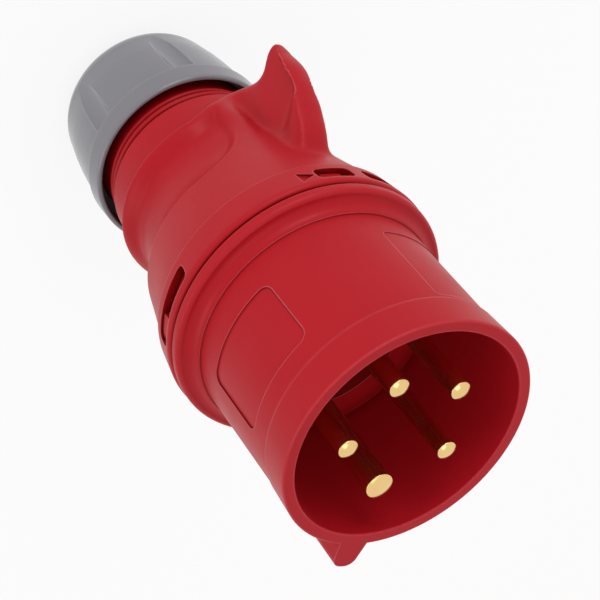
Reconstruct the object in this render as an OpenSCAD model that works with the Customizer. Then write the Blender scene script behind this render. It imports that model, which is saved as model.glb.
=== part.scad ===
// Industrial pin and sleeve plug, five poles (three phases, neutral and earth), 16 A size.
// The axis is Z. The plug stands on the rear face of its gland nut at z = 0, with the pins
// and the mouth of the shroud at the top. The thumb fin is on +Y (twelve o'clock), the key
// rib and the earth pin are on -Y (six o'clock).

/* [Lengths along the axis] */
// Length of the gland nut
nut_len = 35.7; // [34:0.1:37]
// Length of the ribbed neck that shows between nut and drum
neck_show = 5.3; // [4:0.1:7]
// Length of the drum behind the grip lip
drum_len = 12.5; // [11:0.1:15]
// Length of the finger grip, from its lip to the cone
grip_len = 23.1; // [21:0.1:26]
// Length of the cone between grip and collar
cone_len = 16.8; // [15:0.1:20]
// Length of the bayonet collar
collar_len = 9.6; // [9.2:0.1:11]
// Thickness of the front flange, from the collar to its front edge
flange_t = 3.2; // [2.6:0.1:4.5]
// Length of the shroud in front of the flange
shroud_len = 46.4; // [42:0.1:52]
// Depth of the shroud, from the rim to the contact carrier
shroud_depth = 38; // [35:0.5:40]

/* [Front radii] */
// Outer radius of the shroud at its rim
shroud_r = 32; // [31:0.1:34]
// Wall of the shroud at its rim
shroud_wall = 3.05; // [2.4:0.05:3.4]
// Height of the raised band at the rim above the shroud's side
rim_band_h = 0.75; // [0.4:0.05:1]
// Height of the front flange above the shroud's side
flange_h = 4.75; // [4.2:0.05:5.5]
// Height of the collar's front edge above the flange
collar_over = 0.2; // [0:0.05:0.6]
// How much narrower the collar is at its rear edge
collar_taper = 1.2; // [0.6:0.1:1.6]
// Wall of the collar at its front edge
collar_wall = 2.95; // [2.6:0.05:3.4]
// Step down from the collar's rear edge to the cone
cone_step = 0.8; // [0.4:0.1:1.2]
// Wall of the plug's spigot inside the collar
spigot_wall = 2.8; // [2.4:0.1:3]

/* [Rear radii] */
// Radius of the threaded neck
neck_r = 22.4; // [21.5:0.1:24]
// Step up from the neck to the drum
drum_step = 2; // [1.7:0.1:2.6]
// Step up from the drum to the bottom of the finger grip
grip_step = 0.9; // [0.5:0.1:1.5]
// Height of the lip above the bottom of the finger grip
lip_h = 1.8; // [1.4:0.1:2.4]
// Depth of the finger grip below the cone
grip_depth = 4.9; // [4.2:0.1:5.6]

/* [Gland nut] */
// Wall of the nut over the neck's thread
nut_wall = 3.8; // [3.4:0.1:4.6]
// Length of the front band of the nut
nut_band = 6.5; // [5.5:0.1:8]
// Width of the rounded shoulder between the nut's band and the face on which it stands
nut_shoulder = 8.9; // [8.2:0.1:9.6]
// Radius of the cable hole in the nut
cable_hole_r = 11.5; // [10.5:0.1:12]
// Number of scallops round the nut
scallops = 6; // [5:1:8]
// Depth of a scallop at the band
scallop_depth = 1.7; // [0.8:0.1:1.8]
// Radius of the round cutter that makes a scallop
scallop_r = 5.5; // [4:0.5:8]
// Gap that is left between the nut's stop and the end of the neck
nut_stop_gap = 0.3; // [0.2:0.05:0.5]

/* [Pins] */
// Radius of the circle on which the pins stand
pin_pitch_r = 15.3; // [14.9:0.1:15.7]
// Radius of a phase or neutral pin
pin_r = 2.5; // [2.2:0.05:2.8]
// Radius of the earth pin
earth_r = 3.5; // [3.2:0.05:3.8]
// Distance from the rim down to the pin tips
pin_below_rim = 0.3; // [0.1:0.1:4]
// Radius of a terminal barrel
barrel_r = 4.4; // [4.1:0.1:4.8]
// Length of a terminal barrel
barrel_len = 15; // [13:0.5:17]
// Radius of the wire hole in a terminal barrel
wire_r = 1.9; // [1.6:0.1:2.1]
// Radius of a terminal screw
term_screw_r = 1.7; // [1.5:0.05:1.9]

/* [Bayonet] */
// Angle through which the front twists to unlock
twist = 22; // [18:1:24]
// Height of a window in the collar
window_h = 4.7; // [4:0.1:5]
// Angle that a side lug covers
lug_angle = 11; // [8:1:12]
// Angle that the index nib covers
nib_angle = 10; // [8:1:11]
// Height of a side lug above the spigot
lug_h = 1.9; // [1.4:0.1:2.1]

/* [Key and fin] */
// Height of the key rib above the rim
key_h = 6.6; // [5.8:0.1:7.4]
// Width of the key rib at its root
key_w = 6.6; // [5.6:0.1:7.4]
// Height of the fin's tip above the lip
fin_h = 16.9; // [15:0.1:18.5]
// Width of the fin where it leaves the body
fin_w = 18; // [15:0.5:20]
// Width of the fin at its waist, between the hollows in its sides
fin_waist = 4.6; // [4:0.1:6]
// Width of the fin at its tip
fin_tip_w = 5.4; // [4.5:0.1:6.5]

/* [Walls and clearances] */
// Wall of the rear housing
wall = 2.6; // [2.2:0.1:2.8]
// Running gap between spigot and collar bore
bayonet_gap = 0.25; // [0.15:0.05:0.35]
// Gap between flange and collar
flange_gap = 0.4; // [0.3:0.05:0.6]
// Gap between the nut's thread and the neck
thread_gap = 0.3; // [0.25:0.05:0.5]
// Clearance round a fixed piece in its hole
fit_gap = 0.05; // [0.02:0.01:0.1]
// Gap round a soft ring or seal
soft_gap = 0.3; // [0.2:0.05:0.4]
// Depth of the bare label panels
panel_depth = 0.35; // [0.2:0.05:0.5]

/* [Cable gland] */
// Radius of the hole in the cable seal
cable_r = 8; // [6:0.5:9]
// Wall of the cable seal
seal_wall = 6.2; // [5.6:0.1:6.4]
// Length of the cable seal
seal_len = 16; // [13:0.5:17]
// Wall of the clamping fingers
finger_wall = 2.8; // [2.4:0.1:3]
// Number of clamping fingers
fingers = 8; // [6:1:10]
// Width of the slot between two fingers
finger_slot = 2; // [1.5:0.1:3]

/* [Hidden] */
$fn = 96;
EPS = 0.01;

// Heights of the main sections, stacked up from the nut's rear face
neck_top_z = nut_len + neck_show;
lip_z = neck_top_z + drum_len;
grip_top_z = lip_z + grip_len;
collar_z = grip_top_z + cone_len;
collar_top_z = collar_z + collar_len;
flange_z = collar_top_z + flange_gap;
flange_top_z = flange_z + flange_t;
rim_z = flange_top_z + shroud_len;
floor_z = rim_z - shroud_depth;
pin_tip_z = rim_z - pin_below_rim;

// Shroud
key_r = shroud_r + key_h;
rim_round = 0.5;
band_len = 9.4;
band_step = 0.3;
root_len = 3.2;
shroud_mid_r = shroud_r - rim_band_h;
bore_r = shroud_r - shroud_wall;
bore_floor_r = bore_r - 0.5;
floor_t = 5;
front_inner_r = bore_floor_r;

// Flange, collar and cone
flange_r = shroud_mid_r + flange_h;
collar_r = flange_r + collar_over;
collar_rear_r = collar_r - collar_taper;
cone_front_r = collar_rear_r - cone_step;

// Spigot and bayonet
spigot_end_z = collar_z - 1.4;
collar_bore_r = collar_r - collar_wall;
spigot_r = collar_bore_r - bayonet_gap;
spigot_inner_r = spigot_r - spigot_wall;
gasket_t = 1;
seat_z = spigot_end_z - soft_gap - gasket_t;
window_z = collar_z + 5.2;
lug_play = 0.45;
side_span = lug_angle + twist + 1;
nib_span = nib_angle + 6;
top_mid = 89;
left_mid = 189;
right_mid = -11;
nib_h = 1.15;
groove_r = spigot_r + nib_h + bayonet_gap;
lug_groove_r = spigot_r + lug_h + bayonet_gap;

// Contact carrier
carrier_boss_r = pin_pitch_r + earth_r + 2.2;
carrier_flange_r = front_inner_r - bayonet_gap;
carrier_flange_t = 4;
carrier_boss_len = 11;
carrier_seat_z = floor_z - carrier_boss_len;
carrier_rear_z = carrier_seat_z - carrier_flange_t;
carrier_screw_pitch = (carrier_boss_r + front_inner_r) / 2;
carrier_screw_r = 1.45;
carrier_screw_head_r = 2.7;
carrier_screw_head_t = 2;
carrier_screw_len = 9;
rib_t = 1.6;
rib_len = 11;
hub_r = 5.5;
pin_dome = 0.45;
shank_step = 0.9;
shank_z = floor_z - 0.8;
phase_angles = [126, 198, 342, 54];
earth_angle = 270;
screw_angles = [90, 234, 306];

// Rear housing
drum_r = neck_r + drum_step;
grip_r = drum_r + grip_step;
lip_r = grip_r + lip_h;
cone_rear_r = grip_r + grip_depth;
fin_r = lip_r + fin_h;
fin_arc_r = 36.3;
fin_arc_z = lip_z + 1.5;
lip_slope = 5.2;
sweep_y = 0.63 * lip_r;
sweep_drop = 7.2;
end_x = 27.3;
end_y = 19;
end_z = lip_z + 5.3;
end_r = 17.8;

// Rear housing cavity, neck and gland
neck_end_z = 16;
ledge_z = 27;
ledge_t = 3;
ledge_hole_r = 12;
seal_r = cable_r + seal_wall;
cage_inner_r = seal_r + soft_gap;
cage_r = cage_inner_r + finger_wall;
gland_bore_r = cage_r + 0.4;
nut_thread_r = neck_r + thread_gap;
nut_floor_t = 3.5;
nut_r = nut_thread_r + nut_wall;
nut_foot_r = nut_r - nut_shoulder;
nut_skirt_r = nut_r - 1.7;
nut_band_z = nut_len - nut_band;
nut_stop_z = neck_end_z - nut_stop_gap;

// ---------------------------------------------------------------- shared shapes

// Points of an arc about c, from angle a0 to a1
function arc(c, r, a0, a1, n = 8) =
    [for (i = [0:n]) let (a = a0 + (a1 - a0) * i / n) [c[0] + r * cos(a), c[1] + r * sin(a)]];

// Ring sector between two radii, centred on an angle
module sector(r0, r1, z0, h, mid, span) {
    rotate([0, 0, mid - span / 2])
        translate([0, 0, z0])
            rotate_extrude(angle = span)
                translate([r0, 0])
                    square([r1 - r0, h]);
}

module tube(r_out, r_in, h) {
    difference() {
        cylinder(r = r_out, h = h);
        translate([0, 0, -1]) cylinder(r = r_in, h = h + 2);
    }
}

// Places its children on a circle, at an angle, without turning them
module at_polar(r, a) {
    translate([r * cos(a), r * sin(a), 0]) children();
}

// Slot with round ends through the collar, drawn out straight as a mould slide leaves it
module window_slot(mid, span) {
    rotate([0, 0, mid])
        translate([collar_bore_r - 3, 0, window_z])
            rotate([90, 0, 90])
                linear_extrude(collar_r - collar_bore_r + 5)
                    rounded_box(2 * collar_r * sin(span / 2), window_h, window_h * 0.3);
}

// Rounded rectangle on the shroud's side, as wide as the given arc
module panel_cut(mid, half_w, z0, z1, depth, corner = 2.5) {
    rotate([0, 0, mid])
        intersection() {
            difference() {
                cylinder(r = shroud_r + 1, h = rim_z);
                translate([0, 0, -1]) cylinder(r = shroud_mid_r - depth, h = rim_z + 2);
            }
            translate([0, 0, (z0 + z1) / 2])
                rotate([90, 0, 90])
                    linear_extrude(shroud_r + 2)
                        rounded_box(2 * half_w, z1 - z0, corner);
        }
}

module rounded_box(w, h, r) {
    square([w - 2 * r, h], center = true);
    square([w, h - 2 * r], center = true);
    for (x = [-1, 1], y = [-1, 1])
        translate([x * (w / 2 - r), y * (h / 2 - r)]) circle(r);
}

// ---------------------------------------------------------------- front housing

module front_profile() {
    root_z = flange_top_z + root_len;
    band_z = rim_z - band_len;
    cove_r = root_len;
    polygon(concat(
        [[spigot_inner_r, spigot_end_z], [spigot_r - 0.6, spigot_end_z],
         [spigot_r, spigot_end_z + 0.6], [spigot_r, flange_z]],
        arc([flange_r - 0.9, flange_z + 0.9], 0.9, -90, 0, 5),
        arc([flange_r - 1.3, flange_top_z - 1.3], 1.3, 0, 90, 6),
        arc([shroud_mid_r + 0.4 + cove_r, flange_top_z + cove_r], cove_r, 270, 180, 8),
        [[shroud_mid_r, root_z], [shroud_mid_r, band_z - 0.6],
         [shroud_mid_r + band_step, band_z]],
        arc([shroud_r - rim_round, rim_z - rim_round], rim_round, 0, 90, 4),
        arc([bore_r + rim_round, rim_z - rim_round], rim_round, 90, 180, 4),
        [[bore_floor_r, floor_z], [carrier_boss_r + bayonet_gap, floor_z],
         [carrier_boss_r + bayonet_gap, floor_z - floor_t], [front_inner_r, floor_z - floor_t],
         [front_inner_r, carrier_rear_z - 2], [spigot_inner_r, carrier_rear_z - 4]]));
}

// Key rib outline in plan, from inside the wall out to the tip
module key_rib() {
    tip_r = key_w / 2 - 0.5;
    rotate([0, 0, -90])
        translate([0, 0, flange_z + 0.6])
            linear_extrude(rim_z - flange_z - 0.6)
                polygon(concat(
                    [[bore_r + 1, -key_w / 2 - 0.8], [shroud_mid_r + 0.6, -key_w / 2 - 0.6]],
                    arc([key_r - tip_r, tip_r - key_w / 2], tip_r, -88, 0, 8),
                    arc([key_r - tip_r, key_w / 2 - tip_r], tip_r, 0, 88, 8),
                    [[shroud_mid_r + 0.6, key_w / 2 + 0.6], [bore_r + 1, key_w / 2 + 0.8]]));
}

module lug(mid, angle, h) {
    sector(spigot_r - 0.5, spigot_r + h, window_z - window_h / 2 + lug_play,
           window_h - 2 * lug_play, mid, angle);
}

module front_housing() {
    color("#B8242C")
        difference() {
            union() {
                rotate_extrude() front_profile();
                key_rib();
                lug(left_mid + twist / 2, lug_angle, lug_h);
                lug(right_mid + twist / 2, lug_angle, lug_h);
                lug(top_mid + twist / 2, nib_angle, nib_h);
                for (a = screw_angles)
                    at_polar(carrier_screw_pitch, a)
                        translate([0, 0, carrier_seat_z])
                            cylinder(r = 3.2, h = floor_z - floor_t - carrier_seat_z + 0.5);
            }
            for (a = screw_angles)
                at_polar(carrier_screw_pitch, a)
                    translate([0, 0, carrier_seat_z - 1])
                        cylinder(r = carrier_screw_r + fit_gap,
                                 h = carrier_screw_len - carrier_flange_t + 2);
            panel_cut(176.5, 13.6, flange_top_z + 11.2, flange_top_z + 31, panel_depth);
            panel_cut(67.5, 13.6, flange_top_z + 10.5, rim_z - 11, panel_depth / 2, 1.5);
        }
}

// ---------------------------------------------------------------- contacts

module contact_carrier() {
    color("#9E1F26")
        difference() {
            union() {
                translate([0, 0, carrier_seat_z]) cylinder(r = carrier_boss_r, h = carrier_boss_len);
                translate([0, 0, carrier_rear_z])
                    cylinder(r = carrier_flange_r, h = carrier_flange_t);
                translate([0, 0, carrier_rear_z - rib_len]) cylinder(r = hub_r, h = rib_len + 1);
                for (k = [0:4])
                    rotate([0, 0, 90 + 72 * k])
                        translate([hub_r - 1, -rib_t / 2, carrier_rear_z - rib_len])
                            cube([carrier_boss_r - hub_r + 1, rib_t, rib_len + 1]);
            }
            for (a = phase_angles)
                at_polar(pin_pitch_r, a) cylinder(r = pin_r + shank_step + fit_gap, h = rim_z);
            at_polar(pin_pitch_r, earth_angle)
                cylinder(r = earth_r + shank_step + fit_gap, h = rim_z);
            for (a = screw_angles)
                at_polar(carrier_screw_pitch, a)
                    cylinder(r = carrier_screw_r + fit_gap, h = rim_z);
        }
}

// A contact: domed pin at the front, terminal barrel with wire hole and cross hole behind
module contact(a, r) {
    rear_z = carrier_rear_z - barrel_len;
    body_r = barrel_r + (r - pin_r) * 0.5;
    color("#C9A24B")
        at_polar(pin_pitch_r, a)
            rotate([0, 0, a])
                difference() {
                    rotate_extrude()
                        polygon(concat(
                            [[0, rear_z], [body_r - 0.4, rear_z], [body_r, rear_z + 0.4],
                             [body_r, carrier_rear_z], [r + shank_step, carrier_rear_z],
                             [r + shank_step, shank_z], [r, shank_z]],
                            arc([r - 0.9, pin_tip_z - pin_dome - 0.9], 0.9, 0, 60, 5),
                            [[r * 0.45, pin_tip_z - 0.12], [0, pin_tip_z]]));
                    translate([0, 0, rear_z - 1]) cylinder(r = wire_r, h = barrel_len - 2);
                    translate([0, 0, rear_z + 5.5])
                        rotate([0, 90, 0])
                            cylinder(r = term_screw_r + fit_gap, h = body_r + 1);
                }
}

// Slotted grub screw that clamps the wire from the outer side of its barrel
module terminal_screw(a) {
    screw_len = 6;
    inner_r = pin_pitch_r + 0.6;
    color("#B9BCC0")
        rotate([0, 0, a])
            translate([inner_r, 0, carrier_rear_z - barrel_len + 5.5])
                rotate([0, 90, 0])
                    difference() {
                        cylinder(r = term_screw_r, h = screw_len);
                        translate([-term_screw_r - 1, -0.3, screw_len - 0.9])
                            cube([2 * term_screw_r + 2, 0.6, 2]);
                    }
}

module carrier_screw(a) {
    color("#C4C7CB")
        at_polar(carrier_screw_pitch, a)
            difference() {
                union() {
                    translate([0, 0, carrier_rear_z])
                        cylinder(r = carrier_screw_r, h = carrier_screw_len - 0.8);
                    translate([0, 0, carrier_rear_z + carrier_screw_len - 0.8])
                        cylinder(r1 = carrier_screw_r, r2 = 0.5, h = 0.8);
                    translate([0, 0, carrier_rear_z - carrier_screw_head_t])
                        cylinder(r1 = carrier_screw_head_r - 0.5, r2 = carrier_screw_head_r,
                                 h = carrier_screw_head_t);
                }
                for (t = [0, 90])
                    rotate([0, 0, t])
                        translate([-1.5, -0.35, carrier_rear_z - carrier_screw_head_t - 1])
                            cube([3, 0.7, 2.1]);
            }
}

// ---------------------------------------------------------------- rear housing

// Outer skin of the rear housing before the finger grip is cut
module rear_outer() {
    polygon(concat(
        [[0, neck_end_z], [neck_r - 0.5, neck_end_z], [neck_r, neck_end_z + 0.5],
         [neck_r, neck_top_z - 5]],
        arc([neck_r, neck_top_z - 4.2], 0.7, -90, 90, 6),
        arc([neck_r + 0.3, neck_top_z - 1.7], 0.9, -90, 90, 6),
        arc([drum_r - 1.2, neck_top_z + 1.2], 1.2, -90, 0, 5),
        [[drum_r, lip_z - 2.2], [drum_r + 0.6, lip_z - 1.6]],
        arc([lip_r - 1, lip_z], 1, -80, 15, 6),
        [[cone_rear_r - 1.2, grip_top_z - 9], [cone_rear_r, grip_top_z],
         [cone_front_r, collar_z - 0.5], [collar_rear_r - 0.3, collar_z - 0.1],
         [collar_rear_r, collar_z + 0.4], [collar_r, collar_top_z - 1.6]],
        arc([collar_r - 1.3, collar_top_z - 1.3], 1.3, 0, 90, 6),
        [[0, collar_top_z]]));
}

// Section of the finger grip, open to the outside: the lip's long front slope, a narrow cove,
// the floor, and a broad hollow up to the sharp edge of the cone
module grip_section() {
    cove = 1.2;
    hollow = 8;
    far = cone_rear_r + 4;
    slope_z = lip_z + lip_slope;
    polygon(concat(
        [[far, lip_z + 0.3], [lip_r - 0.4, lip_z + 0.6]],
        arc([grip_r + cove, slope_z + cove * 0.5], cove, 215, 180, 4),
        arc([grip_r + 0.3 + hollow, grip_top_z - hollow * 0.9], hollow, 180, 122, 8),
        [[cone_rear_r - 0.1, grip_top_z], [far, grip_top_z]]));
}

// Round end of the grip beside the fin: a cone, so that the wall of the hollow leans outwards
module grip_end(side) {
    depth = 10;
    translate([side * end_x, cone_rear_r - 6 - depth, end_z])
        rotate([-90, 0, 0])
            cylinder(r1 = end_r - depth * 0.5, r2 = end_r + depth * 0.5, h = 2 * depth);
}

// The grip runs round the body but stops in a round end on each side of the fin
module grip_cut() {
    reach = cone_rear_r + 5;
    intersection() {
        rotate_extrude() grip_section();
        union() {
            translate([-reach, -reach, 0]) cube([2 * reach, reach + end_y, rim_z]);
            for (side = [-1, 1]) grip_end(side);
        }
    }
}

// Section of the lip in its own ring, with its crest at the origin
module lip_section() {
    polygon(concat(
        [[-4.5, 0], [-1.6, -0.9]],
        arc([-0.9, -0.1], 0.9, -80, 20, 6),
        [[-2, lip_slope - 0.6], [-4.5, lip_slope]]));
}

// The lip where it leaves the round of the body and sweeps rearwards under the fin: a ring
// that leans back about its chord
module swept_lip() {
    half_w = sqrt(lip_r * lip_r - sweep_y * sweep_y);
    lean = atan(sweep_drop / (lip_r - sweep_y));
    rise = (lip_r - sweep_y) / cos(lean);
    ring_r = (half_w * half_w + rise * rise) / (2 * rise);
    span = 2 * asin(half_w / ring_r) + 1;
    translate([0, sweep_y, lip_z])
        rotate([-lean, 0, 0])
            translate([0, rise - ring_r, 0])
                rotate([0, 0, 90 - span / 2])
                    rotate_extrude(angle = span)
                        translate([ring_r, 0]) lip_section();
}

// Bridge of the body between the swept lip and the fin
module bridge() {
    lean = atan(sweep_drop / (lip_r - sweep_y));
    intersection() {
        rotate_extrude()
            polygon([[grip_r - 2, lip_z - sweep_drop - 1], [lip_r - 0.5, lip_z - sweep_drop - 1],
                     [lip_r + 0.4, lip_z + 1], [lip_r + 0.4, lip_z + 5], [grip_r - 2, lip_z + 5]]);
        translate([0, sweep_y, lip_z + 0.4])
            rotate([-lean, 0, 0])
                translate([-lip_r, -2, 0])
                    cube([2 * lip_r, lip_r, lip_r]);
    }
}

// Side outline of the fin, y along the first axis and z along the second
module fin_outline() {
    tip_z = lip_z - 5.5;
    polygon(concat(
        [[grip_r - 2, tip_z - 3.6], [grip_r - 2, collar_z - 6], [cone_rear_r, collar_z - 5]],
        arc([fin_r - fin_arc_r - 0.2, fin_arc_z], fin_arc_r, 57, 0, 12),
        [[fin_r - 0.5, tip_z + 1.6], [fin_r - 1.2, tip_z]],
        arc([fin_r - 8.6, tip_z - 5.2], 6.4, 70, 138, 7)));
}

// Wheel with a rounded rim that rounds the fin's front edge
module fin_wheel() {
    round_r = 5.4;
    rim = fin_arc_r + 0.02;
    translate([0, fin_r - fin_arc_r - 0.2, fin_arc_z])
        rotate([0, 90, 0])
            rotate_extrude()
                polygon(concat(
                    [[0, -fin_w]],
                    [[rim - 12, -fin_w]],
                    arc([rim - round_r, 0], round_r, -58, 58, 12),
                    [[rim - 12, fin_w], [0, fin_w]]));
}

// Thumb fin: the side outline, narrowing outwards, with a rounded front and a broad hollow on
// both sides behind it
module fin() {
    hollow_r = 30;
    difference() {
        intersection() {
            rotate([90, 0, 90])
                translate([0, 0, -fin_w / 2])
                    linear_extrude(fin_w)
                        fin_outline();
            linear_extrude(rim_z)
                polygon([[-fin_w / 2, grip_r - 3], [fin_w / 2, grip_r - 3],
                         [fin_w / 2 - 0.6, lip_r - 0.5], [fin_tip_w / 2 + 2.4, lip_r + 6],
                         [fin_tip_w / 2, fin_r + 1], [-fin_tip_w / 2, fin_r + 1],
                         [-fin_tip_w / 2 - 2.4, lip_r + 6], [-fin_w / 2 + 0.6, lip_r - 0.5]]);
            fin_wheel();
        }
        for (side = [-1, 1])
            translate([side * (hollow_r + fin_waist / 2), fin_r - 6, lip_z + 6])
                sphere(r = hollow_r);
    }
}

module rear_cavity() {
    cone_wall = wall + 0.1;
    rotate_extrude()
        polygon([
            [0, collar_top_z + 1], [collar_bore_r + 1.2, collar_top_z + 1],
            [collar_bore_r + 1.2, collar_top_z], [collar_bore_r, collar_top_z - 0.7],
            [collar_bore_r, seat_z], [spigot_inner_r - 0.4, seat_z],
            [cone_rear_r - cone_wall, grip_top_z + 3.4], [grip_r - wall + 0.2, grip_top_z - 2.2],
            [grip_r - wall, lip_z + 3], [drum_r - wall, lip_z - 5],
            [neck_r - wall - 0.2, neck_top_z - 1], [neck_r - wall - 0.2, ledge_z + ledge_t],
            [0, ledge_z + ledge_t]]);
    translate([0, 0, ledge_z - 1]) cylinder(r = ledge_hole_r, h = ledge_t + 2);
    translate([0, 0, neck_end_z - 1]) cylinder(r = gland_bore_r, h = ledge_z - neck_end_z + 1);
}

// Entry channel and turning groove of one bayonet lug, blind inside the collar
module lug_path(mid, angle, r_out, span) {
    play = 1;
    low = window_z - window_h / 2 + lug_play / 2;
    sector(collar_bore_r - 1.4, r_out, low, window_h - lug_play, mid, span);
    sector(collar_bore_r - 1.8, r_out - 0.04, low + 0.04, collar_top_z + 1 - low,
           mid - twist / 2, angle + 2 * play);
}

// Small arrow beside the index windows
module arrow_mark() {
    rotate([0, 0, 112])
        translate([collar_rear_r - 0.05, 0, window_z])
            rotate([90, 0, 90])
                linear_extrude(3)
                    polygon([[1.9, -2.2], [1.9, 2.2], [-2.1, 0]]);
}

module rear_housing() {
    nib_path = twist + nib_angle + 2;
    color("#B8242C")
        difference() {
            union() {
                difference() {
                    union() {
                        rotate_extrude() rear_outer();
                        bridge();
                    }
                    grip_cut();
                }
                swept_lip();
                fin();
            }
            rear_cavity();
            lug_path(left_mid, lug_angle, lug_groove_r, side_span);
            lug_path(right_mid, lug_angle, lug_groove_r, side_span);
            lug_path(top_mid, nib_angle, groove_r, nib_path);
            window_slot(left_mid, side_span);
            window_slot(right_mid, side_span);
            for (side = [-1, 1])
                window_slot(top_mid + side * twist / 2, nib_span);
            arrow_mark();
        }
}

module housing_gasket() {
    color("#2B2B2D")
        translate([0, 0, seat_z])
            tube(spigot_r - soft_gap, spigot_inner_r, gasket_t);
}

// ---------------------------------------------------------------- cable gland

module cable_seal() {
    waist = 0.8;
    low = ledge_z - soft_gap - seal_len;
    high = ledge_z - soft_gap;
    color("#2B2B2D")
        rotate_extrude()
            polygon([[cable_r + 1, low], [seal_r - 1.2, low], [seal_r, low + 1.2],
                     [seal_r, low + 5], [seal_r - waist, low + 6], [seal_r - waist, high - 6],
                     [seal_r, high - 5], [seal_r, high], [cable_r + 1, high],
                     [cable_r, high - 1], [cable_r, low + 1]]);
}

// Clamping cage: a flat ring in the nut with slotted fingers that reach into the neck
module clamp_cage() {
    ring_z = nut_floor_t + nut_stop_gap;
    ring_t = 3.4;
    tip_z = ledge_z - 3;
    hole_r = cable_hole_r + 0.5;
    color("#3C3E42")
        difference() {
            rotate_extrude()
                polygon([[hole_r, ring_z], [nut_thread_r - 2.9, ring_z],
                         [nut_thread_r - 2.9, ring_z + ring_t - 0.6],
                         [nut_thread_r - 3.5, ring_z + ring_t], [cage_r, ring_z + ring_t],
                         [cage_r, tip_z - 1.5], [cage_r - 1, tip_z], [cage_inner_r, tip_z],
                         [cage_inner_r, ring_z + ring_t], [hole_r, ring_z + ring_t - 1.2]]);
            for (k = [0:fingers - 1])
                rotate([0, 0, 360 / fingers * (k + 0.5)])
                    translate([cage_inner_r - 2, -finger_slot / 2, ring_z + ring_t + 1])
                        cube([finger_wall + 4, finger_slot, tip_z]);
        }
}

module nut_outer() {
    shoulder_r = 8.9;
    shoulder_z = 8.8;
    mid_r = nut_foot_r - 3.2 + shoulder_r;
    polygon(concat(
        [[0, 0], [nut_foot_r - 0.6, 0]],
        arc([nut_foot_r - 3.2, shoulder_z], shoulder_r, -63, -6, 12),
        [[mid_r + 1.1, shoulder_z + 5.4], [nut_r - 1.3, nut_band_z - 8],
         [nut_r - 0.8, nut_band_z - 0.4], [nut_r - 0.5, nut_band_z], [nut_r, nut_band_z + 0.4],
         [nut_r - 0.25, nut_len - 0.9]],
        arc([nut_r - 1.05, nut_len - 0.8], 0.8, 0, 90, 4),
        [[0, nut_len]]));
}

module nut_bore() {
    polygon([
        [0, -1], [cable_hole_r, -1], [cable_hole_r, nut_floor_t],
        [nut_thread_r - 2.6, nut_floor_t],
        [nut_thread_r - 2.6, nut_stop_z - 1], [neck_r - 1.6, nut_stop_z],
        [nut_thread_r, nut_stop_z], [nut_thread_r, nut_band_z], [nut_skirt_r, nut_band_z + 1.6],
        [nut_skirt_r, nut_len - 0.4], [nut_skirt_r + 0.4, nut_len + EPS], [nut_skirt_r + 0.4, nut_len + 1],
        [0, nut_len + 1]]);
}

// Leaf-shaped scallops: a leaning round cutter that comes out of the surface at the shoulder
module scallop_cuts() {
    lean = 3.2;
    for (k = [0:scallops - 1])
        rotate([0, 0, 49.5 + 360 / scallops * (k + 1)])
            intersection() {
                translate([nut_r - 0.4 - scallop_depth + scallop_r, 0, nut_band_z])
                    rotate([0, 180 + lean, 0])
                        translate([0, 0, -5])
                            cylinder(r = scallop_r, h = nut_len + 5);
                translate([0, -scallop_r, -1])
                    cube([nut_r + 5, 2 * scallop_r, nut_band_z + 1]);
            }
}

module gland_nut() {
    color("#8F8F93")
        difference() {
            rotate_extrude()
                difference() {
                    nut_outer();
                    nut_bore();
                }
            scallop_cuts();
        }
}

front_housing();
contact_carrier();
contact(phase_angles[0], pin_r);  // pin_l1
contact(phase_angles[1], pin_r);  // pin_l2
contact(phase_angles[2], pin_r);  // pin_l3
contact(phase_angles[3], pin_r);  // pin_n
contact(earth_angle, earth_r);  // pin_pe
terminal_screw(phase_angles[0]);  // terminal_screw_l1
terminal_screw(phase_angles[1]);  // terminal_screw_l2
terminal_screw(phase_angles[2]);  // terminal_screw_l3
terminal_screw(phase_angles[3]);  // terminal_screw_n
terminal_screw(earth_angle);  // terminal_screw_pe
carrier_screw(screw_angles[0]);  // carrier_screw_top
carrier_screw(screw_angles[1]);  // carrier_screw_left
carrier_screw(screw_angles[2]);  // carrier_screw_right
housing_gasket();
rear_housing();
cable_seal();
clamp_cage();
gland_nut();
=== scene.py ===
"""Looks of an industrial pin and sleeve plug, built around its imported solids.

The plug stands on its gland nut, with the pins and the mouth of the shroud at the top. The
finishes are moulded polyamide in red and grey, turned brass, zinc plated steel and rubber.
"""

import logging
import math
from dataclasses import dataclass, field
from enum import Enum

import bpy
from mathutils import Matrix, Vector


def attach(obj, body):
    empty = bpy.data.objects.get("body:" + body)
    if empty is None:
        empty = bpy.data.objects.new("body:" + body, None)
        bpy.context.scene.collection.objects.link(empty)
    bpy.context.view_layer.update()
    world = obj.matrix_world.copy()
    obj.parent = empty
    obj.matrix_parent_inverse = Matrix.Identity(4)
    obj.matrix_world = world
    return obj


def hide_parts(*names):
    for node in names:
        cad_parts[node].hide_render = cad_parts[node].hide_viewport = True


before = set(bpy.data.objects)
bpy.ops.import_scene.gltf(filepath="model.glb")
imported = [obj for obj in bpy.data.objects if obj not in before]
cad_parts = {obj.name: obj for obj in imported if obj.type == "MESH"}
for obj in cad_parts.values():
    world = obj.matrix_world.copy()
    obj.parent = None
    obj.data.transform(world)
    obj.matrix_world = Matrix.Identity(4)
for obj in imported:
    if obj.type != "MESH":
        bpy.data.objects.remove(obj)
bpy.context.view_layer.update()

MM = 0.001
# Radius that stands for the axis itself, in millimetres, so that no face shrinks to a line
AXIS_R = 0.02
# Radius of the phase and neutral pins and of the earth pin, in millimetres
PHASE_PIN_R = 2.5
EARTH_PIN_R = 3.5
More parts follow.
